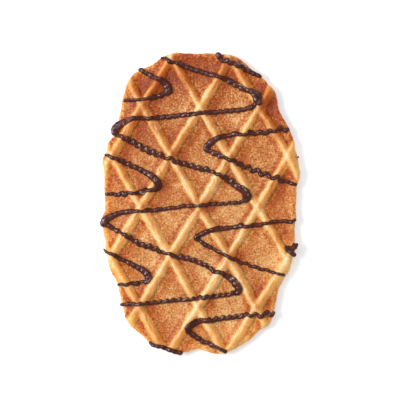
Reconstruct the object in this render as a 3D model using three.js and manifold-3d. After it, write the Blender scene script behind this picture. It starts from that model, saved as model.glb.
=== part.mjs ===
// Butter waffle crisp with a chocolate drizzle: an oval sheet with a diamond lattice of ridges
// on both faces, and ten separate lines of set chocolate lying on the upper one.
// Millimetres, +Z up, +Y along the waffle. The origin is under its middle, on the resting plane.
import * as THREE from 'three';
import { mergeVertices } from 'three/addons/utils/BufferGeometryUtils.js';
import Module from 'manifold-3d';

// Outline of the baked sheet: a rounded oval with the lobes and dents of a poured edge.
const HALF_WIDTH = 31;
const HALF_LENGTH = 48.5;
const OVAL_POWER = 2.4;
const OUTLINE_STEPS = 120;
// [bearing from +X in degrees, how far the edge swells out, half spread in degrees]
const LOBES = [
  [0, -0.4, 4], [9, -0.5, 4], [17, 0.5, 3], [20, 1.2, 12], [36, 0.5, 8], [47, -1, 5],
  [51, -0.6, 2], [57, 0.6, 4], [60, -0.5, 1.5], [70, -0.5, 3], [74, 0.3, 4], [80, 0.4, 3],
  [81, -0.5, 1.5], [90, -0.3, 6], [101, 0.6, 5], [119, 1.8, 7], [131, -0.8, 6], [138, -1.4, 7],
  [141, -0.7, 2], [152, -0.9, 3], [155, 1.2, 7], [163, -0.4, 4], [178, -0.5, 8], [185, -0.4, 5],
  [190, 0.8, 5], [204, -0.9, 3], [205, 0.9, 4], [225, -1.5, 8], [239, 1.1, 5], [250, 0.5, 4],
  [264, 0.4, 2], [269, -1.6, 5], [280, 0.5, 4], [291, 0.6, 2.5], [292, -0.8, 6], [300, 1.2, 3],
  [313, -2.2, 8], [335, 0.7, 4], [336, -0.9, 3], [346, -0.5, 4],
];

// Heights: the sheet between two lattices that stand equally proud of it.
const RIDGE_RISE = 1.1;
const SHEET_THICK = 2.6;
const TOTAL_HIGH = SHEET_THICK + 2 * RIDGE_RISE;
const EDGE_ROUND = 1.25;
const RIDGE_RUNOUT = 2;
const EDGE_FACETS = 3;
const RUNOUT_FACETS = 1;

// Diamond lattice: crossings half a diamond apart, in rows that lean a little to +X, and the
// ridges that join them.
const CENTRE_CROSSING = [-0.5, -1.1];
const HALF_DIAMOND = [9.4, 16];
const LATTICE_LEAN = 0.2;
const LATTICE_REACH = 5;
const RIDGE_BASE = 3;
const RIDGE_CROWN = 1.3;
const RIDGE_DIP = 0.15;
const RIDGE_UNEVEN = 0.12;
const CROSSING_BASE = 4;
const CROSSING_CROWN = 2.2;
const CROSSING_SIDES = 8;
// Crossings that the iron and the dough left off the regular lattice: [across, along, dx, dy]
const STRAY_CROSSINGS = [
  [-2, 2, 0, 0.8], [-3, 1, 0, 0.7], [-1, 1, 0, 0.7], [3, 1, 0.2, 0.3], [-1, -1, 0.3, 0.3],
  [1, -1, 0.3, 0], [3, -1, 0.5, -1.1], [2, -2, -0.3, -0.2], [-1, -3, -0.6, 0],
  [1, -3, -0.4, 0.4],
];

// Chocolate lines, each laid along a route of [x, y, width].
const DRIZZLE_CLEAR = 0.3;
const DRIZZLE_STEP = 2.4;
const DRIZZLE_SIDES = 6;
const DRIZZLE_LOW = 0.6;
const DRIZZLE_CROWN = 0.32;
const END_TAPER = 0.5;
const PROBE_STEP = 0.3;
const ROUTES = {
  drizzle_main: [
    [-12.8, 46.4, 1], [-3.5, 43.2, 1], [4.5, 41.1, 1.1], [12.5, 37.2, 1.7], [17.6, 35.5, 2],
    [19, 34, 2.6], [18.4, 31.9, 2.3], [16, 30.7, 1.5], [7, 29.6, 1], [-6, 28.5, 1],
    [-20.5, 27.3, 1.2], [-25, 25.7, 1.8], [-27.5, 23.5, 2.4], [-25.8, 21.6, 2], [-19.5, 19, 1.9],
    [-11.3, 14.8, 1.8], [-4.8, 12.5, 1.7], [3, 10.2, 1.8], [9.5, 7.4, 1.9], [13.2, 5, 2.2],
    [15.4, 2.5, 2.4], [14.3, 1, 2], [10.5, 0, 1.4], [0, -0.5, 1.1], [-8, -1.3, 1.2],
    [-20, -2.4, 1.2], [-27.5, -3.6, 1.7], [-30.4, -5.9, 2.2], [-28.5, -7.8, 1.9],
    [-20, -12.2, 1.9], [-10, -16.1, 1.8], [-2, -18.5, 1.8], [4.5, -21.9, 1.9],
    [10, -24.2, 2.1], [12.4, -27.4, 2.6], [10.5, -29.2, 2], [3.5, -29.5, 1.6],
    [-5, -30.6, 1.6], [-17, -31.7, 1.4], [-25.5, -32.3, 1],
  ],
  drizzle_top_right: [
    [4.9, 47.6, 1], [6.4, 47.2, 1.9], [7.2, 46, 1.4], [10, 45, 1.5], [15, 43, 1.3], [20, 40.2, 1],
  ],
  drizzle_left_top: [
    [-19.6, 42.8, 1.2], [-16, 41, 1.3], [-11.8, 38.7, 2.2], [-10.2, 36, 2.4], [-12.3, 34.4, 1.8],
    [-17, 33.7, 1.4], [-24.5, 33, 1],
  ],
  drizzle_right_1: [
    [28.3, 23.9, 1.2], [20.5, 23, 1.4], [11, 22.6, 1.2], [6, 21.2, 1.8], [3, 19, 2],
    [2.4, 17.2, 2], [6, 15.5, 1.8], [12.5, 12.8, 1.7], [18.5, 10.3, 1.6], [25, 8, 1.4],
    [31, 6, 1],
  ],
  drizzle_left_mid: [
    [-30.5, 15.6, 1], [-23.8, 13.4, 1.2], [-18, 10.2, 1.5], [-14.4, 7.5, 2.1], [-13.6, 5.4, 2.2],
    [-16, 4.1, 1.8], [-23, 3.2, 1.5], [-30.5, 3, 1],
  ],
  drizzle_right_2: [
    [30.5, -5, 1.2], [23.5, -6, 1], [13, -7.2, 1.1], [4, -8.3, 1.8], [-0.2, -10.1, 2.2],
    [-0.6, -11.9, 2.1], [3, -13.8, 1.7], [9.5, -17.4, 1.3], [17, -20.3, 1.1], [27.3, -22.9, 1],
  ],
  drizzle_left_low: [
    [-30.5, -14.5, 0.8], [-28, -16.2, 1.1], [-22, -19.3, 1.4], [-18, -21.8, 2],
    [-17, -24, 2.3], [-19.3, -25.3, 1.9], [-26.3, -26.1, 1],
  ],
  drizzle_right_3: [
    [23.6, -34.6, 1.2], [21, -35.5, 1.3], [14.3, -35.7, 1.5], [5.5, -36.8, 2], [-1, -37.6, 1.9],
    [-4.1, -40.2, 2.6], [-2.2, -42.6, 2.2], [2.5, -44.3, 1.8], [9, -47.1, 1],
  ],
  drizzle_bottom_left: [
    [-16.4, -44.3, 0.9], [-13, -45.8, 1.2], [-5.6, -47.9, 1.1],
  ],
  drizzle_drop: [
    [27.4, -13.9, 1.2], [28.9, -15, 1.8], [30.3, -16.3, 1.3],
  ],
};

const WAFFLE_FINISH = { color: 0xd9995c, roughness: 0.85, metalness: 0 };
const CHOCOLATE_FINISH = { color: 0x4b2e28, roughness: 0.35, metalness: 0 };

// Vertices closer than this are one.
const MERGE_WITHIN = 1e-4;

const wasm = await Module();
wasm.setup();

// Distance from the middle to the baked edge, in the direction of a bearing in radians.
function edgeAt(bearing) {
  const across = Math.abs(Math.cos(bearing)) / HALF_WIDTH;
  const along = Math.abs(Math.sin(bearing)) / HALF_LENGTH;
  let reach = (across ** OVAL_POWER + along ** OVAL_POWER) ** (-1 / OVAL_POWER);
  for (const [at, swell, spread] of LOBES) {
    const off = ((THREE.MathUtils.radToDeg(bearing) - at + 540) % 360) - 180;
    reach += swell * Math.exp(-((off / spread) ** 2));
  }
  return reach;
}

function outline() {
  const points = [];
  for (let k = 0; k < OUTLINE_STEPS; k += 1) {
    const bearing = (2 * Math.PI * k) / OUTLINE_STEPS;
    const reach = edgeAt(bearing);
    points.push(new THREE.Vector2(reach * Math.cos(bearing), reach * Math.sin(bearing)));
  }
  return new THREE.Shape(points);
}

// The outline as a slab from one height to another, with its rim rounded off on both faces.
function slab(low, high, roundHigh, roundIn, facets) {
  const geometry = new THREE.ExtrudeGeometry(outline(), {
    depth: high - low - 2 * roundHigh,
    bevelThickness: roundHigh,
    bevelSize: roundIn,
    bevelOffset: -roundIn,
    bevelSegments: facets,
  });
  return geometry.translate(0, 0, low + roundHigh);
}

function crossingAt(across, along) {
  const place = new THREE.Vector3(
    CENTRE_CROSSING[0] + across * HALF_DIAMOND[0] + along * LATTICE_LEAN,
    CENTRE_CROSSING[1] + along * HALF_DIAMOND[1],
    0,
  );
  const stray = STRAY_CROSSINGS.find(([a, b]) => a === across && b === along);
  return stray ? place.add(new THREE.Vector3(stray[2], stray[3], 0)) : place;
}

function isOnSheet(place, margin) {
  return Math.hypot(place.x, place.y) < edgeAt(Math.atan2(place.y, place.x)) - margin;
}

// All crossings on the sheet, and all ridges that join two neighbours and touch the sheet.
function lattice() {
  const crossings = [];
  const ridges = [];
  for (let along = -LATTICE_REACH; along <= LATTICE_REACH; along += 1) {
    for (let across = -LATTICE_REACH; across <= LATTICE_REACH; across += 1) {
      if ((across + along) % 2 !== 0) continue;
      const from = crossingAt(across, along);
      if (isOnSheet(from, CROSSING_BASE / 2)) crossings.push(from);
      for (const lean of [-1, 1]) {
        const to = crossingAt(across + lean, along + 1);
        if (!isOnSheet(from, 0) && !isOnSheet(to, 0)) continue;
        // Each ridge sinks by its own amount between its two crossings.
        const dip = RIDGE_DIP + RIDGE_UNEVEN * Math.sin(7 * across + 3 * along + lean) ** 2;
        ridges.push({ from, to, dip });
      }
    }
  }
  return { crossings, ridges };
}

// One ridge, as a bar through the sheet that stands out on both faces with sloping flanks.
function ridgeBar({ from, to, dip }) {
  const base = RIDGE_BASE / 2;
  const crown = RIDGE_CROWN / 2;
  const section = new THREE.Shape([
    new THREE.Vector2(-crown, dip),
    new THREE.Vector2(crown, dip),
    new THREE.Vector2(base, RIDGE_RISE),
    new THREE.Vector2(base, TOTAL_HIGH - RIDGE_RISE),
    new THREE.Vector2(crown, TOTAL_HIGH - dip),
    new THREE.Vector2(-crown, TOTAL_HIGH - dip),
    new THREE.Vector2(-base, TOTAL_HIGH - RIDGE_RISE),
    new THREE.Vector2(-base, RIDGE_RISE),
  ]);
  const along = to.clone().sub(from);
  const geometry = new THREE.ExtrudeGeometry(section, { depth: along.length(), bevelEnabled: false });
  along.normalize();
  const up = new THREE.Vector3(0, 0, 1);
  const side = up.clone().cross(along);
  const turn = new THREE.Matrix4().makeBasis(side, up, along).setPosition(from);
  return geometry.applyMatrix4(turn);
}

// The swelling where ridges cross, flat on both ends: these are what the waffle rests on.
function crossingBoss(place) {
  const profile = [
    new THREE.Vector2(0, 0),
    new THREE.Vector2(CROSSING_CROWN / 2, 0),
    new THREE.Vector2(CROSSING_BASE / 2, RIDGE_RISE),
    new THREE.Vector2(CROSSING_BASE / 2, TOTAL_HIGH - RIDGE_RISE),
    new THREE.Vector2(CROSSING_CROWN / 2, TOTAL_HIGH),
    new THREE.Vector2(0, TOTAL_HIGH),
  ];
  const geometry = new THREE.LatheGeometry(profile, CROSSING_SIDES);
  geometry.rotateX(Math.PI / 2);
  return geometry.translate(place.x, place.y, 0);
}

function positionsOnly(geometry) {
  geometry.deleteAttribute('normal');
  geometry.deleteAttribute('uv');
  return mergeVertices(geometry, MERGE_WITHIN);
}

function solidOf(geometry) {
  const merged = positionsOnly(geometry);
  return new wasm.Manifold(new wasm.Mesh({
    numProp: 3,
    vertProperties: new Float32Array(merged.attributes.position.array),
    triVerts: new Uint32Array(merged.index.array),
  }));
}

function geometryOf(solid) {
  const { vertProperties, triVerts } = solid.getMesh();
  const geometry = new THREE.BufferGeometry();
  geometry.setAttribute('position', new THREE.BufferAttribute(vertProperties, 3));
  geometry.setIndex(new THREE.BufferAttribute(triVerts, 1));
  geometry.computeVertexNormals();
  return geometry;
}

function waffleGeometry({ crossings, ridges }) {
  const raised = [...ridges.map(ridgeBar), ...crossings.map(crossingBoss)]
    .map(solidOf)
    .reduce((all, next) => all.add(next));
  const reach = slab(0, TOTAL_HIGH, RIDGE_RISE + EDGE_ROUND, RIDGE_RUNOUT, RUNOUT_FACETS);
  const sheet = slab(RIDGE_RISE, TOTAL_HIGH - RIDGE_RISE, EDGE_ROUND, EDGE_ROUND, EDGE_FACETS);
  return geometryOf(raised.intersect(solidOf(reach)).add(solidOf(sheet)));
}

// Height of the upper face at a place: the sheet, a ridge's flank or crown, or a crossing.
function upperFaceAt(x, y, { crossings, ridges }) {
  const place = new THREE.Vector3(x, y, 0);
  const nearest = new THREE.Vector3();
  const flank = (away, base, crown, rise) => (
    rise * THREE.MathUtils.clamp((base / 2 - away) / (base / 2 - crown / 2), 0, 1)
  );
  let rise = 0;
  for (const { from, to, dip } of ridges) {
    new THREE.Line3(from, to).closestPointToPoint(place, true, nearest);
    const away = nearest.distanceTo(place);
    rise = Math.max(rise, flank(away, RIDGE_BASE, RIDGE_CROWN, RIDGE_RISE - dip));
  }
  for (const crossing of crossings) {
    const away = crossing.distanceTo(place);
    rise = Math.max(rise, flank(away, CROSSING_BASE, CROSSING_CROWN, RIDGE_RISE));
  }
  return TOTAL_HIGH - RIDGE_RISE + rise;
}

// Places along a route, close together in its bends, each with its heading and width.
function stationsAlong(route) {
  const curve = new THREE.CatmullRomCurve3(route.map(([x, y]) => new THREE.Vector3(x, y, 0)));
  const spans = route.length - 1;
  const stations = [];
  for (let span = 0; span < spans; span += 1) {
    const [x0, y0, width0] = route[span];
    const [x1, y1, width1] = route[span + 1];
    const pieces = Math.ceil(Math.hypot(x1 - x0, y1 - y0) / DRIZZLE_STEP);
    for (let k = span === 0 ? 0 : 1; k <= pieces; k += 1) {
      const t = (span + k / pieces) / spans;
      stations.push({
        place: curve.getPoint(t),
        heading: curve.getTangent(t),
        width: THREE.MathUtils.lerp(width0, width1, k / pieces),
      });
    }
  }
  stations[0].width *= END_TAPER;
  stations[stations.length - 1].width *= END_TAPER;
  return stations;
}

// The highest place of the waffle under the stretch between two stations.
function highestUnder(a, b, relief) {
  const length = a.place.distanceTo(b.place);
  const half = Math.max(a.width, b.width) / 2;
  let high = 0;
  for (let s = 0; s <= length + PROBE_STEP; s += PROBE_STEP) {
    const mid = a.place.clone().lerp(b.place, Math.min(1, s / length));
    for (const off of [-half, 0, half]) {
      const x = mid.x - off * a.heading.y;
      const y = mid.y + off * a.heading.x;
      high = Math.max(high, upperFaceAt(x, y, relief));
    }
  }
  return high;
}

// A line of chocolate: a low rounded strand that climbs each ridge it crosses.
function drizzleGeometry(route, relief) {
  const stations = stationsAlong(route);
  const last = stations.length - 1;
  const spans = stations.slice(1).map((next, k) => highestUnder(stations[k], next, relief));
  const geometry = positionsOnly(
    new THREE.CylinderGeometry(1, 1, 1, DRIZZLE_SIDES, last, false, Math.PI / DRIZZLE_SIDES),
  );
  const position = geometry.attributes.position;
  for (let v = 0; v < position.count; v += 1) {
    const k = Math.round((0.5 - position.getY(v)) * last);
    const { place, heading, width } = stations[k];
    const off = (position.getX(v) * width) / 2;
    const high = DRIZZLE_LOW + DRIZZLE_CROWN * width;
    const under = Math.max(spans[Math.max(0, k - 1)], spans[Math.min(k, last - 1)]);
    position.setXYZ(
      v,
      place.x - off * heading.y,
      place.y + off * heading.x,
      under + DRIZZLE_CLEAR + (high * (1 + position.getZ(v))) / 2,
    );
  }
  geometry.computeVertexNormals();
  return geometry;
}

function named(name, geometry, finish) {
  const mesh = new THREE.Mesh(geometry, new THREE.MeshStandardMaterial(finish));
  mesh.name = name;
  return mesh;
}

const relief = lattice();
const group = new THREE.Group();
group.add(named('waffle', waffleGeometry(relief), WAFFLE_FINISH));
for (const [name, route] of Object.entries(ROUTES)) {
  group.add(named(name, drizzleGeometry(route, relief), CHOCOLATE_FINISH));
}

export default group;
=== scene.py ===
import math

import bmesh
import bpy
import numpy as np
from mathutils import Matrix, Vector, noise


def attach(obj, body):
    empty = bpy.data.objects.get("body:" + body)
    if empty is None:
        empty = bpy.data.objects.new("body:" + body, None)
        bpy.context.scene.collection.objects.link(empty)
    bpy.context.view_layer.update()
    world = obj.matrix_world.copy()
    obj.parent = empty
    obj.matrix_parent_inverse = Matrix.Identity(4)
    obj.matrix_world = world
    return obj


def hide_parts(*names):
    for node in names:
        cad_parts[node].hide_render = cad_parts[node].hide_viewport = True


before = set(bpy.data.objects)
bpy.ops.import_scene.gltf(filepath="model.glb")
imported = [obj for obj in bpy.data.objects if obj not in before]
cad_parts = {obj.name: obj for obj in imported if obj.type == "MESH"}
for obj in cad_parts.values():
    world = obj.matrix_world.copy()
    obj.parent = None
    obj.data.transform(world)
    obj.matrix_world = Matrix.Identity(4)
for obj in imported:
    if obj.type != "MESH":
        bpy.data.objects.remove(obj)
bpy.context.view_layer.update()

MM = 0.001
# In millimetres: farther than any place on the waffle, and too small to matter.
FAR = 99.0
TINY = 1e-6

# ---------------------------------------------------------------- outline of the waffle
HALF_WIDTH = 31.0
HALF_LENGTH = 48.5
OVAL_POWER = 2.4
# (bearing from +X in degrees, how far the edge swells out, half spread in degrees)
LOBES = [
    (0, -0.4, 4), (9, -0.5, 4), (17, 0.5, 3), (20, 1.2, 12), (36, 0.5, 8), (47, -1, 5),
    (51, -0.6, 2), (57, 0.6, 4), (60, -0.5, 1.5), (70, -0.5, 3), (74, 0.3, 4), (80, 0.4, 3),
    (81, -0.5, 1.5), (90, -0.3, 6), (101, 0.6, 5), (119, 1.8, 7), (131, -0.8, 6), (138, -1.4, 7),
    (141, -0.7, 2), (152, -0.9, 3), (155, 1.2, 7), (163, -0.4, 4), (178, -0.5, 8), (185, -0.4, 5),
    (190, 0.8, 5), (204, -0.9, 3), (205, 0.9, 4), (225, -1.5, 8), (239, 1.1, 5), (250, 0.5, 4),
    (264, 0.4, 2), (269, -1.6, 5), (280, 0.5, 4), (291, 0.6, 2.5), (292, -0.8, 6), (300, 1.2, 3),
    (313, -2.2, 8), (335, 0.7, 4), (336, -0.9, 3), (346, -0.5, 4),
]
# Teeth of the crumbly batter along the edge: (how far, size of a tooth, seed).
EDGE_TEETH = [(0.3, 2.6, 51.5), (0.14, 1.1, 57.5)]

# ---------------------------------------------------------------- thickness of the waffle
TOTAL_HIGH = 4.8
SHEET_THICK = 2.35
MIDDLE = TOTAL_HIGH / 2
# The floor of a diamond is dished: how deep, from where to where away from a ridge, and
# from where to where inside the edge.
CELL_DISH = 0.3
DISH_FROM_RIDGE = (1.2, 4)
DISH_FROM_EDGE = (0.5, 3)
# Blisters and pits of the baked face. A blister is (height, size, seed).
BLISTERS = [(0.05, 1.6, 1.7), (0.06, 0.7, 5.9)]
PIT_DEPTH = 0.07
PIT_SIZE = 0.8
PIT_SEED = 12.2
PIT_SPAN = (0.25, 0.6)
PITS_LOST_ON_RIDGE = 0.75
GRAIN_FROM_EDGE = 0.8
# Lumps of the batter that dried on the rim: (share of the roughness, size).
RIM_LUMPS = [(1, 1.3), (0.7, 0.6)]
RIM_CRUMBLE = 0.11
RIM_CRUMBLE_REACH = 0.5
RIM_CRUMBLE_LEAST = 0.02

# ---------------------------------------------------------------- lattice of ridges
CENTRE_CROSSING = (-0.5, -1.1)
HALF_DIAMOND = (9.4, 16)
LATTICE_LEAN = 0.2
LATTICE_REACH = 5
# Crossings that lie off the even lattice, as (across, along): (how far in X, how far in Y).
STRAY_CROSSINGS = {
    (-2, 2): (0, 0.8), (-3, 1): (0, 0.7), (-1, 1): (0, 0.7), (3, 1): (0.2, 0.3),
    (-1, -1): (0.3, 0.3), (1, -1): (0.3, 0), (3, -1): (0.5, -1.1), (2, -2): (-0.3, -0.2),
    (-1, -3): (-0.6, 0), (1, -3): (-0.4, 0.4),
}
# How the ridges waver off the lattice: (how far, size, seed in X, seed in Y).
LATTICE_WAVER = [(0.32, 3.4, 3.1, 8.4), (0.12, 1.1, 6.6, 2.7)]
RIDGE_RISE = 1.2
# How far a ridge runs to its left and right, by which way it leans.
RIDGE_REACH = {1: (1.4, 2.4), -1: (1.65, 2.2)}
# Powers that give a ridge its rounded section, and that blend it into one that it crosses.
RIDGE_POWER = 2.5
RIDGE_FILLET = 1.2
RIDGE_BLEND = 3
# Each stretch of ridge has a number of its own, from -1 to 1. It makes the ridge wider, and
# higher than a level share of its rise, and keeps its unevenness unlike its neighbours'.
RIDGE_WIDER = 0.08
RIDGE_LEVEL = 0.93
RIDGE_HIGHER = 0.07
RIDGE_UNLIKE = 9
# Its sides bulge and draw in: how much, over what length, and the seed.
SIDES_BULGE = (0.1, 1.8, 7.4)
# Ridges add up where they cross, to at most this many times their rise.
CROSSING_HIGHEST = 1.14
CROSSING_REACH = 2.4
# Share of its rise at which a place starts to count as ridge, and at which it is all ridge.
RIDGE_SPAN = (0.15, 0.8)
# A ridge sinks at the rim to a share of its rise, and gains the rest over a distance.
RISE_AT_RIM = 0.55
RISE_GAINED = 0.45
RISE_GAINED_OVER = 2.2
# Fine cracks along the top of a ridge, which wander from side to side and come and go.
CRACK_DEPTH = 0.32
CRACK_WIDTH = 0.24
CRACK_ASIDE = 0.5
CRACK_WANDER = 0.35
CRACK_WANDER_OVER = 3
CRACK_LENGTH = 3.5
CRACK_SEED = 4.4
CRACK_SPAN = (0.05, 0.5)
# Bands along a ridge, as (how far to the right of its middle, half spread): a pale crest, which
# also carries a painted highlight on its side towards the window, and the right flank, painted in
# shade.
CREST_PALE_AND_HIGHLIGHT_BAND = (-0.25, 0.5)
FLANK_SHADE_BAND = (0.9, 0.7)
# Bands at its feet that are painted browner, as (how far right, half spread, strength, what its
# lean adds).
# They are partly baked brown and partly painted shade: a thin line where the diamond meets the
# ridge's left side, and a broad band on its right, away from the window, stronger for one lean.
FOOT_BROWN_AND_SHADE_BANDS = [(-2, 0.8, 1.6, 0.5), (3.9, 1.3, 1.7, 0.3)]

# Folds baked into the batter are grooves that fade out over their ends, with a low lip.
FOLD_WIDTH = 0.24
FOLD_ENDS = 0.6
FOLD_LIP = 0.4
# (from x, y, to x, y, how deep)
FOLDS = [
    (-16.5, -6.6, -14.7, -8.8, 0.3), (-14.8, -11.4, -12.4, -13.9, 0.25),
    (12.5, -9.6, 9.8, -13.3, 0.2), (27.3, -18.4, 24.7, -21, 0.3), (7.8, -18, 5.9, -20.6, 0.3),
    (4.4, -9.7, 5.3, -12, 0.2), (21, -7.4, 25.1, -15.1, 0.2), (-15.9, 25.8, -13.4, 22, 0.3),
    (-27.7, 19.5, -28.4, 17.9, 0.4), (23.3, 21.7, 26.2, 17.2, 0.25), (26.2, 17.2, 27.9, 12.7, 0.25),
    (27.9, 12.7, 26, 10, 0.2), (-9.9, 18.6, -8.8, 16.9, 0.3), (-13, 11.5, -12, 9, 0.25),
    (-15.2, -24.5, -13.8, -23.6, 0.25), (24.5, -12.4, 25.2, -16.2, 0.2),
    (3.6, -41.5, 4, -42.9, 0.25), (-24.7, -27, -23.8, -29.1, 0.25),
    (-23.8, -36, -22.6, -35, 0.25), (7.2, -26, 10.2, -33, 0.2), (0.6, 27, 3.6, 21, 0.2),
]

# ---------------------------------------------------------------- mesh of the waffle
# Squares across and along the upper face; the lower one has half as many.
SQUARES = (216, 332)
# Insets from the edge of the two sheets, and of the rings of faces beyond them that round
# off the rim. The lower sheet does without the first ring and the last.
RIM_STEPS = (0.5, 0.3, 0.15, 0.05, 0.0)
EDGE_SAMPLES = 1440
LOWER_SEED = 40
# What is painted on its vertices, for its finish to read.
PAINTED = ("brownness_and_shade", "speckling", "warmth_and_shade")

# ---------------------------------------------------------------- how brown it is baked
# Brownness is 0 for pale batter and 1 for dark brown, with painted shade and a painted highlight
# mixed in.
# Each part adds or takes away its own: the feet, flanks, pits, folds and cracks add painted shade,
# wholly or in part, fold lips take away painted light, and the crest takes away a painted highlight
# and its paleness.
CELL_BROWN = 0.53
RIDGE_BROWN = 0.37
CREST_PALER_AND_HIGHLIGHT = 0.17
FOOT_BROWN_AND_SHADE = 0.08
FLANK_SHADE_DARKER = 0.06
# Pits are browner, partly baked and partly painted shade in the hollows.
PIT_BROWN_AND_SHADE = 0.1
# Folds are painted darker in their grooves for shade, and paler on their lips for light.
FOLD_SHADE = 0.7
# Cracks are painted darker for the shade in them.
CRACK_SHADE = 0.14
CROSSING_BROWNER = 0.09
# Uneven baking: (how much, size, seed).
BROWN_CLOUDS = [(0.11, 9, 20.5), (0.1, 3.2, 25.5)]
BROWN_FLECKS = (0.05, 1.2, 29.5)
# The edge is paler: how much, how much that varies, over what size, and the seed.
EDGE_PALER = (0.4, 0.3, 1.4, 33.5)
EDGE_PALER_REACH = 1.3
# Strength of the speckle on ridges and in diamonds, and how much it grows along +Y.
RIDGE_SPECKLE = 0.22
CELL_SPECKLE = 0.78
SPECKLE_GROWS = 0.4
SPECKLE_GROWS_FROM = 5
SPECKLE_GROWS_OVER = 35
# Strength of the warm tint at the feet and flanks of ridges, where it is the orange of painted
# shade, and along the rim.
FOOT_SHADE_WARMER = 0.15
FLANK_SHADE_WARMER = 0.8
CROSSING_COOLER = 0.7
RIM_WARMER_REACH = 6
# Round patches that are browner, or paler where the number is negative: (x, y, radius, how much
# browner)
PATCHES = [
    (1, 44, 9, 0.28), (-14, 38, 8, 0.27), (21, 35, 6, 0.23), (-18, 22, 6, 0.2), (27, 28, 6, 0.3),
    (-11, 5, 5, 0.2), (27, 3, 4, 0.12), (-4, 28, 4, -0.14), (1, 36, 5, -0.22), (20, -4, 4, -0.16),
    (-15, -6, 7, -0.08), (12, -12, 4, -0.18), (-12, -20, 5, -0.14), (27, -19.5, 6, -0.42),
    (18, -27, 3, 0.16), (4, -24, 6, -0.16), (14, -39, 8, -0.24), (-3, -35.5, 4, -0.26),
    (-12, -44, 4, 0.09), (-4, 5, 4, -0.14), (27.5, 14.6, 3, -0.14), (19, -2, 3, -0.08),
    (-28, -12, 5, -0.18), (-12, -12, 4, -0.03), (8, 20, 5, 0.15), (-20, 29, 4, 0.05),
    (-10, 15, 3, 0.05), (10, 47, 3, 0.18), (-20, -33, 3, 0.16), (-10, -18, 3, 0.12),
    (10, -18, 4, 0.14), (0, -1, 3, 0.14), (4, 5, 4, -0.14), (-20, 5, 4, -0.08),
    (-12, 11, 3, -0.08), (-12, -28, 4, -0.1), (-28, 12, 4, -0.08), (5, -37, 4, -0.1),
    (0, -10, 14, -0.04), (12, 28, 4, -0.09), (20, 4, 3, -0.06), (-28, -4, 3, 0.05),
    (4, -12, 4, 0.11), (-20, 36, 4, 0.03), (4, 37, 3, -0.08), (-4, -4, 3, -0.04),
    (12, -28, 3, 0.07), (-28, -20, 4, -0.1), (-4, -28, 3, 0.08), (-20, -4, 3, 0.05),
    (-0.4, 30.5, 2.5, -0.1),
]

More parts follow.
